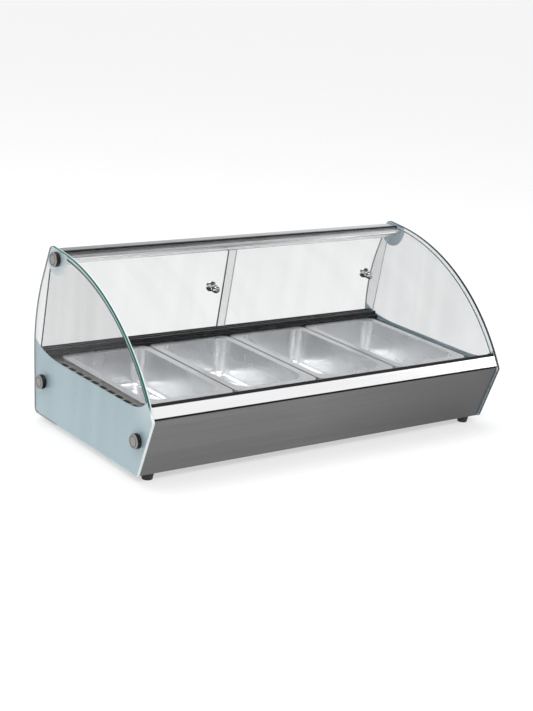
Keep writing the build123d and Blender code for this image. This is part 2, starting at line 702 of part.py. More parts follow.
# ---------------------------------------------------------------- heated well
ELEMENT_Z, ELEMENT_R = WELL_Z + SHEET + 7.8, 4.0
ELEMENT_ENDS = (310.0, 270.0)
with BuildPart() as heat_well:
    with BuildSketch(Plane.XY.offset(WELL_Z)):
        with Locations((0, (WELL_Y0 + WELL_Y1) / 2)):
            RectangleRounded(2 * WELL_X, WELL_Y1 - WELL_Y0, 8)
    extrude(amount=DECK_Z - SHEET - WELL_Z)
    offset(amount=-1.0, openings=heat_well.faces().sort_by(Axis.Z)[-1])
    with BuildSketch(Plane.XZ.offset(-WELL_Y1 - 1)):
        with Locations(*[(x, ELEMENT_Z) for x in ELEMENT_ENDS]):
            Circle(ELEMENT_R + 0.2)
    extrude(amount=4, mode=Mode.SUBTRACT)
pieces["heat_well"] = heat_well

with BuildPart() as insulation:
    with BuildSketch(Plane.XY.offset(TRAY_Z + SHEET + 0.2)):
        with Locations((0, (WELL_Y0 + WELL_Y1) / 2)):
            RectangleRounded(2 * WELL_X - 4, WELL_Y1 - WELL_Y0 - 4, 8)
    extrude(amount=WELL_Z - TRAY_Z - SHEET - 0.4)
    fillet(insulation.edges().filter_by(Plane.XY), 3)
pieces["insulation"] = insulation

with BuildPart() as heating_element:
    with BuildLine():
        loop = FilletPolyline(
            (ELEMENT_ENDS[0], 156, ELEMENT_Z),
            (ELEMENT_ENDS[0], -95, ELEMENT_Z),
            (-310, -95, ELEMENT_Z),
            (-310, 60, ELEMENT_Z),
            (ELEMENT_ENDS[1], 60, ELEMENT_Z),
            (ELEMENT_ENDS[1], 156, ELEMENT_Z),
            radius=18,
        )
    with BuildSketch(Plane(origin=loop @ 0, z_dir=loop % 0)):
        Circle(ELEMENT_R)
    sweep()
pieces["heating_element"] = heating_element

with BuildPart() as element_saddles:
    with BuildSketch(Plane.XY.offset(WELL_Z + 1.0)):
        with Locations(*[(x, y) for x in (-200, 0, 200) for y in (-95, 60)]):
            Rectangle(10, 14)
    extrude(amount=ELEMENT_Z - WELL_Z - 1.0)
    with BuildSketch(Plane.YZ):
        with Locations((-95, ELEMENT_Z), (60, ELEMENT_Z)):
            Circle(ELEMENT_R + 0.1)
    extrude(amount=230, both=True, mode=Mode.SUBTRACT)
pieces["element_saddles"] = element_saddles

with BuildPart() as element_nuts:
    for start, amount in ((WELL_Y1, -6), (WELL_Y1 - 1.0, 5)):
        with BuildSketch(Plane.XZ.offset(-start)):
            with Locations(*[(x, ELEMENT_Z) for x in ELEMENT_ENDS]):
                RegularPolygon(7.5, 6)
                Circle(ELEMENT_R + 0.1, mode=Mode.SUBTRACT)
        extrude(amount=amount)
pieces["element_nuts"] = element_nuts

# ---------------------------------------------------------------- controls and wiring pieces
INSIDE_Y = REAR_Y - SHEET
with BuildPart() as thermostat:
    with BuildSketch(Plane.XZ.offset(-INSIDE_Y)):
        with Locations((KNOB_X, CONTROL_Z)):
            RectangleRounded(36, 42, 3)
    extrude(amount=20)
    with BuildSketch(Plane.XZ.offset(-INSIDE_Y)):
        with Locations((KNOB_X, CONTROL_Z)):
            Circle(4.5)
    extrude(amount=-SHEET - 1)
    with BuildSketch(Plane.XZ.offset(-INSIDE_Y)):
        with Locations((KNOB_X, CONTROL_Z)):
            Circle(3.0)
    extrude(amount=-10)
pieces["thermostat"] = thermostat

with BuildPart() as thermostat_knob:
    knob_back = REAR_Y + 1.6
    with BuildSketch(Plane.XZ.offset(-knob_back)):
        with Locations((KNOB_X, CONTROL_Z)):
            Circle(17)
    extrude(amount=-3)
    with BuildSketch(Plane.XZ.offset(-knob_back - 3)) as grip:
        with Locations((KNOB_X, CONTROL_Z)):
            Circle(13.5)
        with Locations((KNOB_X, CONTROL_Z)):
            with PolarLocations(14.6, 12):
                Circle(2.2, mode=Mode.SUBTRACT)
    extrude(amount=-7.6)
    fillet(thermostat_knob.faces().sort_by(Axis.Y)[-1].edges(), 0.8)
    with BuildSketch(Plane.XZ.offset(-knob_back - 11)):
        with Locations((KNOB_X, CONTROL_Z + 9)):
            Rectangle(1.6, 7)
    extrude(amount=1.0, mode=Mode.SUBTRACT)
    with BuildSketch(Plane.XZ.offset(-knob_back)):
        with Locations((KNOB_X, CONTROL_Z)):
            Circle(3.06)
    extrude(amount=-8, mode=Mode.SUBTRACT)
pieces["thermostat_knob"] = thermostat_knob

with BuildPart() as sensor_bulb:
    with BuildSketch(Plane.YZ.offset(150)):
        with Locations((WELL_Y1 - 6, 78)):
            Circle(3)
    extrude(amount=90)
    fillet(sensor_bulb.edges(), 2)
pieces["sensor_bulb"] = sensor_bulb

with BuildPart() as sensor_clips:
    for x in (165, 222):
        with BuildSketch(Plane.YZ.offset(x)):
            with Locations((WELL_Y1 - 1.0, 78)):
                Rectangle(10, 10, align=(Align.MAX, Align.CENTER))
            with Locations((WELL_Y1 - 6, 78)):
                Circle(3.1, mode=Mode.SUBTRACT)
        extrude(amount=8)
pieces["sensor_clips"] = sensor_clips

ROCKER_Y = REAR_Y - 1.5
for name, x in zip(("power", "lamp"), SWITCH_X):
    with BuildPart() as switch:
        with BuildSketch(Plane.XZ.offset(-INSIDE_Y + 20)):
            with Locations((x, CONTROL_Z)):
                Rectangle(18, 25)
        extrude(amount=-20 - SHEET)
        with BuildSketch(Plane.XZ.offset(-REAR_Y)):
            with Locations((x, CONTROL_Z)):
                RectangleRounded(21.5, 29, 1.5)
        extrude(amount=-1.8)
        with BuildSketch(Plane.YZ.offset(x)):
            with Locations((ROCKER_Y, CONTROL_Z)):
                Circle(ROCKER_R + 0.5)
        extrude(amount=7.4, both=True, mode=Mode.SUBTRACT)
    pieces[name + "_switch"] = switch

    with BuildPart() as rocker:
        with BuildSketch(Plane.YZ.offset(x)) as rocker_section:
            with Locations((ROCKER_Y, CONTROL_Z)):
                Circle(ROCKER_R)
            tilted = [
                (ROCKER_Y + reach * cos(radians(ROCKER_TILT)) - rise * sin(radians(ROCKER_TILT)),
                 CONTROL_Z + reach * sin(radians(ROCKER_TILT)) + rise * cos(radians(ROCKER_TILT)))
                for reach, rise in ((3.2, 0), (4.8, 12), (-4, 12), (-4, -12), (4.8, -12))
            ]
            add(polygon(tilted), mode=Mode.INTERSECT)
        extrude(amount=7.0, both=True)
    pieces[name + "_rocker"] = rocker

with BuildPart() as indicator_lamp:
    with BuildSketch(Plane.XZ.offset(-REAR_Y)):
        with Locations((LAMP_X, CONTROL_Z)):
            Circle(6.5)
    extrude(amount=-3.0)
    fillet(indicator_lamp.faces().sort_by(Axis.Y)[-1].edges(), 2.0)
    with BuildSketch(Plane.XZ.offset(-REAR_Y)):
        with Locations((LAMP_X, CONTROL_Z)):
            Circle(5.0)
    extrude(amount=16)
pieces["indicator_lamp"] = indicator_lamp

with BuildPart() as cable_gland:
    for start, amount, size in ((REAR_Y, -4, 12), (REAR_Y - SHEET, 4, 12)):
        with BuildSketch(Plane.XZ.offset(-start)):
            with Locations((GLAND_X, GLAND_Z)):
                RegularPolygon(size, 6)
        extrude(amount=amount)
    with BuildSketch(Plane.XZ.offset(-REAR_Y)):
        with Locations((GLAND_X, GLAND_Z)):
            Circle(8)
    extrude(amount=5, both=True)
    with BuildSketch(Plane.XZ.offset(-REAR_Y - 4)):
        with Locations((GLAND_X, GLAND_Z)):
            Circle(10)
    with BuildSketch(Plane.XZ.offset(-REAR_Y - 11)):
        with Locations((GLAND_X, GLAND_Z)):
            Circle(7)
    loft()
    with BuildSketch(Plane.XZ.offset(-REAR_Y - 12)):
        with Locations((GLAND_X, GLAND_Z)):
            Circle(4)
    extrude(amount=25, mode=Mode.SUBTRACT)
pieces["cable_gland"] = cable_gland

FLOOR_Z = TRAY_Z + SHEET
with BuildPart() as terminal_block:
    with BuildSketch(Plane.XY.offset(FLOOR_Z)):
        with Locations((-200, 153)):
            Rectangle(62, 20)
    extrude(amount=12)
    with BuildSketch(Plane.XY.offset(FLOOR_Z + 12)):
        with Locations((-200, 153)):
            with GridLocations(12, 20, 5, 1):
                Rectangle(9, 12)
    extrude(amount=6)
    with BuildSketch(Plane.XY.offset(FLOOR_Z + 18)):
        with Locations((-200, 153)):
            with GridLocations(12, 20, 5, 1):
                Circle(2.6)
    extrude(amount=-5, mode=Mode.SUBTRACT)
pieces["terminal_block"] = terminal_block

with BuildPart() as lamp_driver:
    with BuildSketch(Plane.XY.offset(FLOOR_Z)):
        with Locations((20, 154)):
            RectangleRounded(110, 22, 3)
    extrude(amount=24)
    fillet(lamp_driver.faces().sort_by(Axis.Z)[-1].edges(), 2)
pieces["lamp_driver"] = lamp_driver

# ---------------------------------------------------------------- one STEP file for each piece
for name, piece in pieces.items():
    piece.part.label = name
    export_step(piece.part, "parts/" + name + ".step")
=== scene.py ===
"""Looks for the hot food display case: printed glass cheeks, brushed and polished steel, clear glass.

Metres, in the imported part's own frame: x along the case, -y to the customer, z up. The cheek's
outline and the print on it are in millimetres, as (depth, height).
"""

import json
from math import cos, pi, radians, sin, sqrt, tan

import bpy
from mathutils import Matrix, Vector


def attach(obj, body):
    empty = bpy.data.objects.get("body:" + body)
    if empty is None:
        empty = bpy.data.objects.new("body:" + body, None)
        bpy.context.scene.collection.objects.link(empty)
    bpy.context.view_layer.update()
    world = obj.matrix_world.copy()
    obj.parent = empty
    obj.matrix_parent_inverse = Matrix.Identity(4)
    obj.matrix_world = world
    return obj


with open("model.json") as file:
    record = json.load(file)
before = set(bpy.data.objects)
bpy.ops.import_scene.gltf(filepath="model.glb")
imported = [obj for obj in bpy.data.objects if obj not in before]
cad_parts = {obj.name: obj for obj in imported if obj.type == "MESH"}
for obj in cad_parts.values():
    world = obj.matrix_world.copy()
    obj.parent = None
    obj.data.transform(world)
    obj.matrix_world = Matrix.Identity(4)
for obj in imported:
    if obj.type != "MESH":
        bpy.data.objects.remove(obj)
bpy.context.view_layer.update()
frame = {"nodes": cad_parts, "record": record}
MM = 0.001

# ---------------------------------------------------------------- the cheek's outline, in mm
TOE, NOSE_Z = (-149.0, 11.0), 107.0  # the front edge runs straight from the toe up to the nose
CURVE_C, CURVE_R = (138.0, -66.5), 364.5  # then along the curve that the front glass follows
REAR_C, REAR_R = (-97.0, 141.0), 280.0
REAR_TAIL = radians(5.5)  # the rear curve ends this far below its centre, and runs on straight
CURVE_END, REAR_END = radians(95.0), radians(20.7)  # where the two curves give way to the crown
CROWN, CROWN_FILLET = (142.4, 299.8), 12.0
BOLTS = ((-147.0, 69.0), (146.0, 71.0), (117.0, 282.0))

# ---------------------------------------------------------------- camera
AZIMUTH, ELEVATION, ROLL = radians(-37.69), radians(16.76), radians(4.92)
DISTANCE, LENS = 2.3234, 76.29
TARGET = Vector((-0.13034, -0.149, 0.17633))

back = Vector((sin(AZIMUTH) * cos(ELEVATION), -cos(AZIMUTH) * cos(ELEVATION), sin(ELEVATION)))
right = Vector((cos(AZIMUTH), sin(AZIMUTH), 0))
up = back.cross(right)
turned_right = right * cos(ROLL) + up * sin(ROLL)
turned_up = up * cos(ROLL) - right * sin(ROLL)
camera_data = bpy.data.cameras.new("camera")
camera_data.lens = LENS
camera = bpy.data.objects.new("camera", camera_data)
camera.matrix_world = Matrix.Translation(TARGET + back * DISTANCE) @ Matrix(
    (turned_right, turned_up, back)).transposed().to_4x4()
bpy.context.scene.collection.objects.link(camera)
bpy.context.scene.camera = camera
bpy.context.scene.view_settings.view_transform = "Standard"


# ---------------------------------------------------------------- node helpers
class Look:
    """A Principled material with short-hands for the textures that drive it."""

    def __init__(self, name, colour, metallic=0.0, rough=0.5, **sockets):
        self.material = bpy.data.materials.new(name)
        self.material.use_nodes = True
        self.tree = self.material.node_tree
        self.shader = self.tree.nodes["Principled BSDF"]
        self.output = self.tree.nodes["Material Output"]
        self.shader.inputs["Base Color"].default_value = (*colour, 1)
        self.shader.inputs["Metallic"].default_value = metallic
        self.shader.inputs["Roughness"].default_value = rough
        for socket, value in sockets.items():
            self.shader.inputs[socket.replace("_", " ").title()].default_value = value
        self.colour, self.rough = colour, rough
        self.coords = self.add("ShaderNodeTexCoord").outputs["Object"]

    def add(self, kind, **settings):
        node = self.tree.nodes.new(kind)
        for key, value in settings.items():
            setattr(node, key, value)
        return node

    def link(self, source, target):
        self.tree.links.new(source, target)

    def math(self, operation, a, b=0.0):
        node = self.add("ShaderNodeMath", operation=operation)
        for socket, value in zip(node.inputs, (a, b)):
            if isinstance(value, (int, float)):
                socket.default_value = value
            else:
                self.link(value, socket)
        return node.outputs[0]

    def noise(self, scale, stretch=(1, 1, 1), detail=3.0, rough=0.55, turn=(0, 0, 0)):
        """Noise of a scale in waves a metre, stretched and turned about the axes."""
        mapping = self.add("ShaderNodeMapping")
        mapping.inputs["Rotation"].default_value = turn
        mapping.inputs["Scale"].default_value = stretch
        self.link(self.coords, mapping.inputs["Vector"])
        node = self.add("ShaderNodeTexNoise")
        node.inputs["Scale"].default_value = scale
        node.inputs["Detail"].default_value = detail
        node.inputs["Roughness"].default_value = rough
        self.link(mapping.outputs[0], node.inputs["Vector"])
        return node.outputs["Fac"]

    def ramp(self, value, low, high, start=0.3, end=0.7):
        """Low where a value is at start, high where it is at end."""
        node = self.add("ShaderNodeMapRange")
        for socket, number in zip(("From Min", "From Max", "To Min", "To Max"), (start, end, low, high)):
            node.inputs[socket].default_value = number
        self.link(value, node.inputs["Value"])
        return node.outputs[0]

    def blend(self, share, a, b):
        """Colour a where share is 0, b where it is 1."""
        node = self.add("ShaderNodeMix", data_type="RGBA")
        for index, value in ((6, a), (7, b)):
            if isinstance(value, tuple):
                node.inputs[index].default_value = (*value[:3], 1)
            else:
                self.link(value, node.inputs[index])
        self.link(share, node.inputs[0])
        return node.outputs[2]

    def tint(self, value, spread):
        """Base colour varying by a share either side of the plain colour."""
        dark = tuple(c * (1 - spread) for c in self.colour)
        light = tuple(min(c * (1 + spread), 1) for c in self.colour)
        self.link(self.blend(value, dark, light), self.shader.inputs["Base Color"])

    def recolour(self, share, colour):
        """Turn the base colour, already driven by something, to another one by a share."""
        socket = self.shader.inputs["Base Color"]
        self.link(self.blend(share, socket.links[0].from_socket, colour), socket)

    def roughen(self, value, spread):
        self.link(self.ramp(value, self.rough - spread, self.rough + spread),
                  self.shader.inputs["Roughness"])

    def bump(self, value, depth):
        node = self.add("ShaderNodeBump")
        node.inputs["Strength"].default_value = 1.0
        node.inputs["Distance"].default_value = depth
        self.link(value, node.inputs["Height"])
        self.link(node.outputs[0], self.shader.inputs["Normal"])

    def axis(self, index, source=None):
        """One part of a vector, or of the place on the object."""
        node = self.add("ShaderNodeSeparateXYZ")
        self.link(self.coords if source is None else source, node.inputs[0])
        return node.outputs[index]

    def reach(self, centre):
        """Distance in metres from a line that runs along x through a (depth, height) in mm."""
        squares = [self.math("POWER", self.math("SUBTRACT", self.axis(i), place * MM), 2.0)
                   for i, place in zip((1, 2), centre)]
        return self.math("SQRT", self.math("ADD", *squares))

    def normal(self, index):
        return self.axis(index, self.add("ShaderNodeNewGeometry").outputs["Normal"])

    def mix_shaders(self, share, a, b):
        """Shader a where share is 0, b where it is 1."""
        node = self.add("ShaderNodeMixShader")
        for socket, source in zip(node.inputs, (share, a.outputs[0], b.outputs[0])):
            self.link(source, socket)
        return node


GRAIN_ACROSS, GRAIN_ALONG = 420.0, 6.0  # waves a metre of the brushing, across and along its run
STREAK_ACROSS, STREAK_ALONG = 70.0, 1.6
BRUSH_DEPTH = 2e-6


def brushed(name, colour, rough, along=0, spread=0.10):
    """Sheet metal brushed along one axis: fine grain, a few longer streaks and faint handling marks."""
    look = Look(name, colour, 1.0, rough)
    fine = [GRAIN_ALONG if axis == along else GRAIN_ACROSS for axis in range(3)]
    broad = [STREAK_ALONG if axis == along else STREAK_ACROSS for axis in range(3)]
    grain = look.noise(1.0, fine, 4.0, 0.7)
    streaks = look.noise(1.0, broad, 3.0, 0.6)
    smudge = look.noise(9.0, rough=0.5)
    mixed = look.math("ADD", look.math("MULTIPLY", grain, 0.55), look.math("MULTIPLY", streaks, 0.45))
    uneven = look.math("ADD", look.math("MULTIPLY", mixed, 0.6), look.math("MULTIPLY", smudge, 0.4))
    look.tint(look.ramp(mixed, 0.0, 1.0, 0.36, 0.64), spread)
    look.roughen(uneven, 0.07)
    look.bump(grain, BRUSH_DEPTH)
    return look


def moulded(name, colour, rough, grain=900.0, depth=1.5e-5, spread=0.06, **sockets):
    """Plastic or rubber with a fine moulded texture and slight unevenness of colour."""
    look = Look(name, colour, 0.0, rough, **sockets)
    look.tint(look.noise(14.0), spread)
    look.roughen(look.noise(55.0), 0.06)
    look.bump(look.noise(grain, detail=2.0), depth)
    return look


STREAK_WAVES, STREAK_RUN = 26.0, 1.1  # waves a metre of the painted reflection streaks on glass, across and along
LOW_IOR = 1.18  # the picture shows hardly any reflection in the glass
GLASS_GLOSS = (0.1, 0.1, 0.1, 1)
GLASS_SHADOW = (0.93, 0.94, 0.94, 1)  # what the glass leaves of the light that falls through it


def clear_glass(name, colour, broad_x, streak=0.03, turn=0.0):
    """Clear glass with faint painted reflection streaks, whose cut edges have their own shader; lamps shine
    through it.

    broad_x is True for a sheet whose broad faces look along x, False for one whose end faces do.
    """
    look = Look(name, colour, 0.0, 0.0, transmission_weight=1.0)
    if broad_x:
        reflection_streaks = look.noise(1.0, (1.0, STREAK_WAVES, STREAK_RUN), 2.0, 0.5, (turn, 0, 0))
    else:
        reflection_streaks = look.noise(1.0, (STREAK_WAVES, STREAK_RUN, STREAK_RUN), 2.0, 0.5, (0, turn, 0))
    # painted reflection: streaks a little darker than the glass's own colour
    streak_colour = tuple(c * (1 - streak) for c in colour)
    look.link(look.blend(look.ramp(reflection_streaks, 0.0, 1.0, 0.38, 0.62), streak_colour, colour),
              look.shader.inputs["Base Color"])
    look.shader.inputs["Specular Tint"].default_value = GLASS_GLOSS
    look.shader.inputs["IOR"].default_value = LOW_IOR
    look.edge = look.add("ShaderNodeBsdfPrincipled")
    look.edge.inputs["Roughness"].default_value = 0.3
    look.edge.inputs["Specular IOR Level"].default_value = 0.2
    facing = look.math("ABSOLUTE", look.normal(0))
    is_edge = look.math("LESS_THAN", facing, 0.9) if broad_x else look.math("GREATER_THAN", facing, 0.5)
    pane = look.mix_shaders(is_edge, look.shader, look.edge)
    rays = look.add("ShaderNodeLightPath")
    lets_through = look.math("MAXIMUM", rays.outputs["Is Shadow Ray"], rays.outputs["Is Diffuse Ray"])
    through = look.add("ShaderNodeBsdfTransparent")
    through.inputs["Color"].default_value = GLASS_SHADOW
    result = look.mix_shaders(lets_through, pane, through)
    look.link(result.outputs[0], look.output.inputs["Surface"])
    return look


# ---------------------------------------------------------------- materials, one for each slot of the record
looks = {
    "front_glass": clear_glass("front_glass", (0.955, 0.96, 0.96), False, turn=radians(30)),
    "side_glass": clear_glass("side_glass", (0.75, 0.755, 0.76), True, 0.05, radians(35)),
    "door_glass": clear_glass("door_glass", (0.85, 0.85, 0.85), False, turn=radians(-25)),
    "front_steel": brushed("front_steel", (0.184, 0.184, 0.187), 0.36),
    "deck_steel": brushed("deck_steel", (0.40, 0.385, 0.365), 0.30, 1),
    "polished_steel": brushed("polished_steel", (0.97, 0.97, 0.975), 0.14, spread=0.02),
    "fascia_steel": brushed("fascia_steel", (0.82, 0.82, 0.81), 0.18, spread=0.04),
    "case_steel": brushed("case_steel", (0.34, 0.34, 0.345), 0.34),
    "sill_black": moulded("sill_black", (0.012, 0.0125, 0.015), 0.30, 700.0, 4e-6),
    "well_steel": brushed("well_steel", (0.45, 0.45, 0.45), 0.30, 1),
    "rail_aluminium": brushed("rail_aluminium", (0.30, 0.305, 0.31), 0.30),
    "zinc_steel": brushed("zinc_steel", (0.52, 0.53, 0.52), 0.30, 2),
    "element_sheath": brushed("element_sheath", (0.16, 0.14, 0.13), 0.45),
    "bulb_copper": brushed("bulb_copper", (0.72, 0.36, 0.22), 0.30),
    "track_black": moulded("track_black", (0.018, 0.018, 0.020), 0.38),
    "seal_rubber": moulded("seal_rubber", (0.012, 0.012, 0.013), 0.62),
    "foot_rubber": moulded("foot_rubber", (0.014, 0.014, 0.014), 0.70, 500.0, 4e-5),
    "shoe_nylon": moulded("shoe_nylon", (0.78, 0.77, 0.73), 0.42),
    "lens_opal": moulded("lens_opal", (0.86, 0.87, 0.86), 0.35, 1500.0, 1e-5),
    "board_white": moulded("board_white", (0.80, 0.81, 0.78), 0.45),
    "wool": moulded("wool", (0.74, 0.66, 0.44), 0.95, 260.0, 8e-4, 0.16),
    "control_black": moulded("control_black", (0.020, 0.020, 0.021), 0.48, 1200.0, 3e-5),
    "rocker_green": moulded("rocker_green", (0.03, 0.36, 0.12), 0.22, coat_weight=0.4),
    "rocker_black": moulded("rocker_black", (0.016, 0.016, 0.017), 0.28, coat_weight=0.3),
    "indicator_amber": moulded("indicator_amber", (0.85, 0.38, 0.04), 0.20, coat_weight=0.5),
    "thermostat_body": moulded("thermostat_body", (0.66, 0.62, 0.52), 0.50),
    "terminal_plastic": moulded("terminal_plastic", (0.82, 0.81, 0.74), 0.40),
    "driver_white": moulded("driver_white", (0.84, 0.84, 0.82), 0.42),
}

# where a look changes, in metres; a pair is the start and the end of a change
CHEEK_LINE = 0.3503, 0.3510  # |x| in a cheek, which runs from 0.349 to 0.354
CHEEK_CURVE = CURVE_R * MM - 0.002  # distance from the curve's centre, past which an edge is the curved one
CURVE_LOW = 0.117, 0.130  # heights over which the curved edge's line comes in
CHEEK_BACK = 0.1  # depth past which an edge is a rear one
SKIN_LINE = 0.3568, 0.3574  # distance from the curve's centre, about 1 mm into the front glass
WELL_SIDE = 0.3316  # |x|, just inside the well's outer faces at 0.332
PANEL_SHADE_FADE, RAIL_HIGHLIGHT_FADE = (-0.05, 0.34), (-0.33, 0.30)  # x
FASCIA_MID, FASCIA_FADE = -0.03, (0.03, 0.27)  # x, and the distance from there
GROOVE_IN, GROOVE_OUT = 0.00775, 0.00885  # radii of the ring groove in a bolt's face
RING_WAVE = 9000.0  # radians a metre of the turned rings, so one every 0.7 mm
DISC_RISE, BASE_RISE = (0.16, 0.24), (0.02, 0.15)  # heights on the print
NOSE_FRONT, NOSE_RISE = (-0.175, -0.12), (0.07, 0.12)  # depths and heights round the print's nose

# a cheek's curved edge is pale with a teal outer line on the left, the pale being a painted highlight, and
# dark on the right as painted shade;
# the rest of its outline is grey at the back, and below the curve pale on the left and dark on the right,
# again painted highlight and painted shade
cheek = looks["side_glass"]
on_right = cheek.math("GREATER_THAN", cheek.axis(0), 0.0)
outer_part = cheek.ramp(cheek.math("ABSOLUTE", cheek.axis(0)), 0.0, 1.0, *CHEEK_LINE)
teal_line_and_shade = cheek.blend(on_right, (0.003, 0.10, 0.078), (0.004, 0.014, 0.014))
curve_colour = cheek.blend(cheek.math("MAXIMUM", outer_part, on_right), (0.78, 0.84, 0.84), teal_line_and_shade)
low_colour = cheek.blend(on_right, (0.66, 0.72, 0.72), (0.06, 0.065, 0.07))
at_back = cheek.math("GREATER_THAN", cheek.axis(1), CHEEK_BACK)
other_colour = cheek.blend(at_back, low_colour, (0.30, 0.33, 0.33))
on_curve = cheek.math("MULTIPLY", cheek.math("GREATER_THAN", cheek.reach(CURVE_C), CHEEK_CURVE),
                      cheek.ramp(cheek.axis(2), 0.0, 1.0, *CURVE_LOW))
cheek.link(cheek.blend(on_curve, other_colour, curve_colour), cheek.edge.inputs["Base Color"])

# the front glass's ends are pale with a dark line along the inner skin
curved = looks["front_glass"]
past_skin = curved.ramp(curved.reach(CURVE_C), 0.0, 1.0, *SKIN_LINE)
curved.link(curved.blend(past_skin, (0.008, 0.012, 0.013), (0.66, 0.76, 0.78)),
            curved.edge.inputs["Base Color"])

# the doors' edges are dark left of the case's middle and pale right of it: painted shade on the left, a
# painted highlight on the right
door = looks["door_glass"]
right_of_middle = door.math("GREATER_THAN", door.axis(0), 0.0)
door.link(door.blend(right_of_middle, (0.02, 0.03, 0.03), (0.55, 0.58, 0.58)),
          door.edge.inputs["Base Color"])

# pressed pans: satin with soft smudges instead of brush marks
pan = Look("pan_steel", (0.82, 0.825, 0.835), 1.0, 0.27)
pan.tint(pan.noise(7.0), 0.03)
pan.roughen(pan.noise(9.0, (1, 0.4, 1)), 0.025)
looks["pan_steel"] = pan

# the well's end faces get painted shade, a near-black colour, so that the deck's slots look dark
well = looks["well_steel"]
shaded_end_faces = well.math("GREATER_THAN", well.math("ABSOLUTE", well.axis(0)), WELL_SIDE)
well.recolour(shaded_end_faces, (0.010, 0.010, 0.011))

# painted shade and highlight: the front panel darkens towards its right-hand end, and the rail brightens
panel, rail = looks["front_steel"], looks["rail_aluminium"]
panel.recolour(panel.ramp(panel.axis(0), 0.0, 1.0, *PANEL_SHADE_FADE), (0.112, 0.112, 0.115))
rail.recolour(rail.ramp(rail.axis(0), 0.0, 1.0, *RAIL_HIGHLIGHT_FADE), (0.74, 0.75, 0.77))

# the lamp's fascia carries painted reflections: soft blotches, and painted shade darkest near its middle
fascia = looks["fascia_steel"]
reflection_blotch = fascia.ramp(fascia.noise(1.0, (9.0, 60.0, 60.0), 2.0), 0.0, 0.55, 0.42, 0.60)
off_middle = fascia.math("ABSOLUTE", fascia.math("SUBTRACT", fascia.axis(0), FASCIA_MID))
painted_dark_share = fascia.math("MAXIMUM", reflection_blotch, fascia.ramp(off_middle, 1.0, 0.0, *FASCIA_FADE))
fascia.recolour(painted_dark_share, (0.13, 0.155, 0.185))

# the black pieces seen through the glass have little gloss
for name in ("seal_rubber", "track_black", "sill_black"):
    looks[name].shader.inputs["Specular IOR Level"].default_value = 0.15

# polished knobs: a painted reflection, bands of dark and light by how far a face looks up, as a dark room
# would show in them
KNOB_REFLECTION_BANDS = ((0.20, 0.01), (0.40, 0.01), (0.47, 1.0), (0.60, 1.0), (0.68, 0.02), (0.76, 0.03), (0.84, 0.95))
chrome = Look("knob_chrome", (0.80, 0.80, 0.81), 1.0, 0.07)
reflection_bands = chrome.add("ShaderNodeValToRGB")
reflection_bands.color_ramp.elements[0].position = 0.0
reflection_bands.color_ramp.elements[0].color = (0.30, 0.30, 0.30, 1)
reflection_bands.color_ramp.elements[1].position = 1.0
reflection_bands.color_ramp.elements[1].color = (0.85, 0.85, 0.86, 1)
for place, grey in KNOB_REFLECTION_BANDS:
    reflection_bands.color_ramp.elements.new(place).color = (grey, grey, grey, 1)
chrome.link(chrome.math("ADD", chrome.math("MULTIPLY", chrome.normal(2), 0.5), 0.5), reflection_bands.inputs[0])
chrome.link(reflection_bands.outputs[0], chrome.shader.inputs["Base Color"])
chrome.roughen(chrome.noise(120.0, detail=4.0), 0.03)
looks["knob_chrome"] = chrome

# turned bolt heads: fine rings about each bolt's axis on the face, with painted shade in the groove and on
# the barrel
bolt = Look("bolt_steel", (0.29, 0.285, 0.28), 1.0, 0.32)
nearest = bolt.reach(BOLTS[0])
for centre in BOLTS[1:]:
    nearest = bolt.math("MINIMUM", nearest, bolt.reach(centre))
wave = bolt.math("SINE", bolt.math("MULTIPLY", nearest, RING_WAVE))
rings = bolt.math("ADD", bolt.math("MULTIPLY", wave, 0.5), 0.5)
speckle = bolt.noise(700.0)
bolt.tint(bolt.math("ADD", bolt.math("MULTIPLY", rings, 0.5), bolt.math("MULTIPLY", speckle, 0.5)), 0.14)
barrel_shade = bolt.math("LESS_THAN", bolt.math("ABSOLUTE", bolt.normal(0)), 0.45)
groove_shade = bolt.math("MULTIPLY", bolt.math("GREATER_THAN", nearest, GROOVE_IN),
                      bolt.math("LESS_THAN", nearest, GROOVE_OUT))
bolt.recolour(bolt.math("MAXIMUM", barrel_shade, groove_shade), (0.05, 0.049, 0.048))
bolt.roughen(speckle, 0.08)
bolt.bump(rings, 6e-6)
looks["bolt_steel"] = bolt

slots = {part["node"]: part["material_slot"] for part in frame["record"]["subparts"]}
for name, node in frame["nodes"].items():
    for index in range(len(node.material_slots)):
        node.material_slots[index].material = looks[slots[name]].material

# ---------------------------------------------------------------- back print on the glass cheeks
INSET = 0.9  # the print stops this far inside the glass's edge
PRINT_X, PRINT_HALF = 348.93, 0.05  # the film's middle, on the glass's inner face, and half its thickness
HOLE_R, HOLE_SIDES = 4.0, 32  # the bolts pass through the print
LOW_EDGE = ((-150, 124), (-138, 118.5), (-120, 115), (-90, 114), (0, 114), (90, 114), (120, 115.5),
            (145, 119), (165, 125))
LOW_FRONT_Z, LOW_REAR_Z = 135.0, 134.0  # the print over the base ends here on the front and rear edges
FRONT_HEIGHTS = (NOSE_Z - 4, NOSE_Z + 4, 113, 121, 128, LOW_FRONT_Z)  # up its front edge
REAR_HEIGHTS = (127, 120, 114, 108, 20)  # and down its rear edge
TOE_CUT, HEEL_CUT = 4.0, 8.0  # how far its two lower corners are cut back
HEEL_BEND = (15.0, 2.5, 3.4)  # a point on the rear one: the rear edge's height, in from it, up from the floor
DISC_C, DISC_R, DISC_STEPS = (126.0, 287.0), 33.0, 120
DISC_TRIM = 0.2  # the disc's radius is cut by steps of this until it lies on the glass


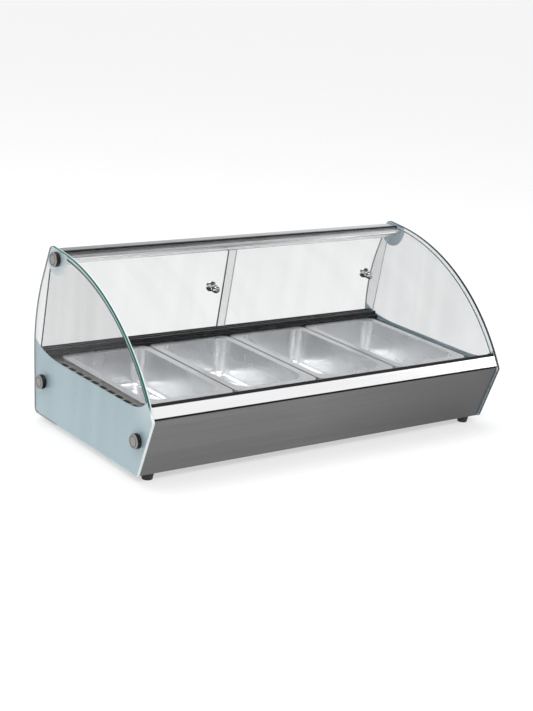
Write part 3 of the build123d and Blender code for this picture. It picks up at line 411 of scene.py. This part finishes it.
def front_edge(height):
    """Depth of the print's front limit at a height, in mm."""
    if height > NOSE_Z:
        return CURVE_C[0] - sqrt((CURVE_R - INSET) ** 2 - (height - CURVE_C[1]) ** 2)
    nose = CURVE_C[0] - sqrt(CURVE_R ** 2 - (NOSE_Z - CURVE_C[1]) ** 2)
    return TOE[0] + (nose - TOE[0]) * (height - TOE[1]) / (NOSE_Z - TOE[1]) + INSET


def rear_edge(height):
    """Depth of the print's rear limit at a height, in mm, up to where the cheek's curve ends."""
    tail_z = REAR_C[1] - REAR_R * sin(REAR_TAIL)
    if height > tail_z:
        return REAR_C[0] + sqrt((REAR_R - INSET) ** 2 - (height - REAR_C[1]) ** 2)
    tail_y = REAR_C[0] + REAR_R * cos(REAR_TAIL)
    return tail_y - (tail_z - height) * tan(REAR_TAIL) - INSET


def inside_crown(y, z):
    """True where the upper part of a cheek has glass, INSET from its edge."""
    top = (CURVE_C[0] + CURVE_R * cos(CURVE_END), CURVE_C[1] + CURVE_R * sin(CURVE_END))
    rear = (REAR_C[0] + REAR_R * cos(REAR_END), REAR_C[1] + REAR_R * sin(REAR_END))
    if y < top[0] and (y - CURVE_C[0]) ** 2 + (z - CURVE_C[1]) ** 2 > (CURVE_R - INSET) ** 2:
        return False
    corner = Vector(CROWN)
    along_top = (Vector(top) - corner).normalized()
    along_rear = (Vector(rear) - corner).normalized()
    off = Vector((y, z)) - corner
    # distances into the glass from the two straight edges, and the rounded corner between them
    from_top = off.x * -along_top.y + off.y * along_top.x
    from_rear = off.x * along_rear.y - off.y * along_rear.x
    if from_top < INSET or from_rear < INSET:
        return False
    if from_top < CROWN_FILLET and from_rear < CROWN_FILLET:
        to_centre = CROWN_FILLET / sin(along_top.angle(along_rear) / 2)
        centre = corner + (along_top + along_rear).normalized() * to_centre
        return (Vector((y, z)) - centre).length < CROWN_FILLET - INSET or off.length > to_centre
    return True


def spline_points(points, steps=5):
    """Points along a smooth (Catmull-Rom) line through the given ones."""
    out = []
    for i in range(len(points) - 1):
        p = [Vector(points[max(0, min(len(points) - 1, i + k))]) for k in (-1, 0, 1, 2)]
        for s in range(steps):
            t = s / steps
            out.append(0.5 * ((2 * p[1]) + (p[2] - p[0]) * t + (2 * p[0] - 5 * p[1] + 4 * p[2] - p[3]) * t * t
                              + (3 * p[1] - p[0] - 3 * p[2] + p[3]) * t ** 3))
    return [tuple(v) for v in out] + [tuple(points[-1])]


def lower_print():
    """Outline of the print over the base, in (depth, height)."""
    low = TOE[1] + INSET
    outline = [(front_edge(low) + TOE_CUT, low), (front_edge(low + TOE_CUT), low + TOE_CUT)]
    outline += [(front_edge(z), z) for z in FRONT_HEIGHTS]
    ends = (front_edge(LOW_FRONT_Z), LOW_FRONT_Z), (rear_edge(LOW_REAR_Z), LOW_REAR_Z)
    outline += spline_points([ends[0], *LOW_EDGE, ends[1]])[1:]
    outline += [(rear_edge(z), z) for z in REAR_HEIGHTS]
    bend_z, bend_in, bend_up = HEEL_BEND
    outline += [(rear_edge(bend_z) - bend_in, low + bend_up), (rear_edge(low) - HEEL_CUT, low)]
    return outline


def disc_print():
    """Outline of the print round the top bolt: a disc cut by the glass's edges."""
    outline = []
    for step in range(DISC_STEPS):
        angle = 2 * pi * step / DISC_STEPS
        reach = DISC_R
        while not inside_crown(DISC_C[0] + reach * cos(angle), DISC_C[1] + reach * sin(angle)):
            reach -= DISC_TRIM
        outline.append((DISC_C[0] + reach * cos(angle), DISC_C[1] + reach * sin(angle)))
    return outline


# the print is pale blue outward, deeper towards its top edge, lighter round the top bolt and at the nose;
# inward it is slate
film = Look("cheek_print", (0.48, 0.58, 0.63), 0.0, 0.30)
outward = film.math("MULTIPLY", film.normal(0), film.math("SIGN", film.axis(0)))
up_base = film.ramp(film.axis(2), 0.0, 1.0, *BASE_RISE)
at_disc = film.ramp(film.axis(2), 0.0, 1.0, *DISC_RISE)
at_nose = film.math("MULTIPLY", film.ramp(film.axis(1), 1.0, 0.0, *NOSE_FRONT),
                    film.ramp(film.axis(2), 0.0, 1.0, *NOSE_RISE))
front_colour = film.blend(up_base, (0.59, 0.74, 0.795), (0.505, 0.635, 0.69))
front_colour = film.blend(at_disc, front_colour, (0.84, 0.95, 0.98))
front_colour = film.blend(at_nose, front_colour, (0.76, 0.87, 0.90))
back_colour = film.blend(film.noise(6.0, detail=4.0), (0.21, 0.29, 0.34), (0.245, 0.33, 0.385))
film.link(film.blend(film.math("GREATER_THAN", outward, 0.0), back_colour, front_colour),
          film.shader.inputs["Base Color"])
film.roughen(film.noise(80.0), 0.03)


def film_piece(name, outline, holes, side):
    """A thin printed film in the plane of a cheek's inner face; side is -1 for the left cheek."""
    curve = bpy.data.curves.new(name, "CURVE")
    curve.dimensions = "2D"
    curve.fill_mode = "BOTH"
    curve.extrude = PRINT_HALF * MM
    angles = [2 * pi * step / HOLE_SIDES for step in range(HOLE_SIDES)]
    hole_rings = [[(y + HOLE_R * cos(a), z + HOLE_R * sin(a)) for a in angles] for y, z in holes]
    for ring in (outline, *hole_rings):
        spline = curve.splines.new("POLY")
        spline.points.add(len(ring) - 1)
        spline.use_cyclic_u = True
        for point, (y, z) in zip(spline.points, ring):
            point.co = (y * MM, z * MM, 0, 1)
    flat = bpy.data.objects.new(name + "_outline", curve)
    mesh = bpy.data.meshes.new_from_object(flat)
    bpy.data.objects.remove(flat)
    mesh.name = name
    mesh.transform(Matrix(((0, 0, 1, side * PRINT_X * MM), (1, 0, 0, 0), (0, 1, 0, 0), (0, 0, 0, 1))))
    mesh.materials.clear()
    mesh.materials.append(film.material)
    piece = bpy.data.objects.new(name, mesh)
    bpy.context.scene.collection.objects.link(piece)
    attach(piece, "case")


for side, hand in ((-1, "left"), (1, "right")):
    film_piece("base_print_" + hand, lower_print(), BOLTS[:2], side)
    film_piece("disc_print_" + hand, disc_print(), BOLTS[2:], side)

# ---------------------------------------------------------------- floor and studio light
FLOOR_HALF, FLOOR_GAP = 20, 0.0002  # the floor's half width, and how far it lies below the feet
floor_mesh = bpy.data.meshes.new("floor")
corners = [(x * FLOOR_HALF, y * FLOOR_HALF, 0) for x, y in ((-1, -1), (1, -1), (1, 1), (-1, 1))]
floor_mesh.from_pydata(corners, [], [(0, 1, 2, 3)])
floor = bpy.data.objects.new("floor", floor_mesh)
floor.location.z = -FLOOR_GAP
paper = Look("floor_paper", (0.42, 0.42, 0.42), 0.0, 0.9)
paper.shader.inputs["Specular IOR Level"].default_value = 0.1
paper.shader.inputs["Emission Color"].default_value = (1, 1, 1, 1)
paper.shader.inputs["Emission Strength"].default_value = 0.52
floor_mesh.materials.append(paper.material)
bpy.context.scene.collection.objects.link(floor)

world = bpy.data.worlds.new("studio")
world.use_nodes = True
bpy.context.scene.world = world
sky = world.node_tree
background = sky.nodes["Background"]
direction = sky.nodes.new("ShaderNodeTexCoord")
split = sky.nodes.new("ShaderNodeSeparateXYZ")
sky.links.new(direction.outputs["Generated"], split.inputs[0])
gradient = sky.nodes.new("ShaderNodeValToRGB")
gradient.color_ramp.elements[0].position = 0.0
gradient.color_ramp.elements[0].color = (0.62, 0.63, 0.65, 1)
gradient.color_ramp.elements[1].position = 0.6
gradient.color_ramp.elements[1].color = (1.0, 1.0, 1.0, 1)
sky.links.new(split.outputs[2], gradient.inputs[0])
sky.links.new(gradient.outputs[0], background.inputs["Color"])
background.inputs["Strength"].default_value = 0.95


def softbox(name, place, aim, width, height, watts):
    """A rectangular soft light at a place, turned to face a point."""
    data = bpy.data.lights.new(name, "AREA")
    data.shape = "RECTANGLE"
    data.size, data.size_y, data.energy = width, height, watts
    lamp = bpy.data.objects.new(name, data)
    turned = (Vector(aim) - Vector(place)).to_track_quat("-Z", "Y").to_matrix().to_4x4()
    lamp.matrix_world = Matrix.Translation(Vector(place)) @ turned
    bpy.context.scene.collection.objects.link(lamp)


softbox("key", (-1.6, -1.8, 2.4), (0, 0, 0.15), 1.6, 1.2, 28)
softbox("top", (-0.3, 0.4, 2.6), (0, 0, 0.1), 1.7, 1.4, 26)
softbox("fill", (2.4, -1.2, 1.2), (0, 0, 0.15), 1.0, 1.4, 10)
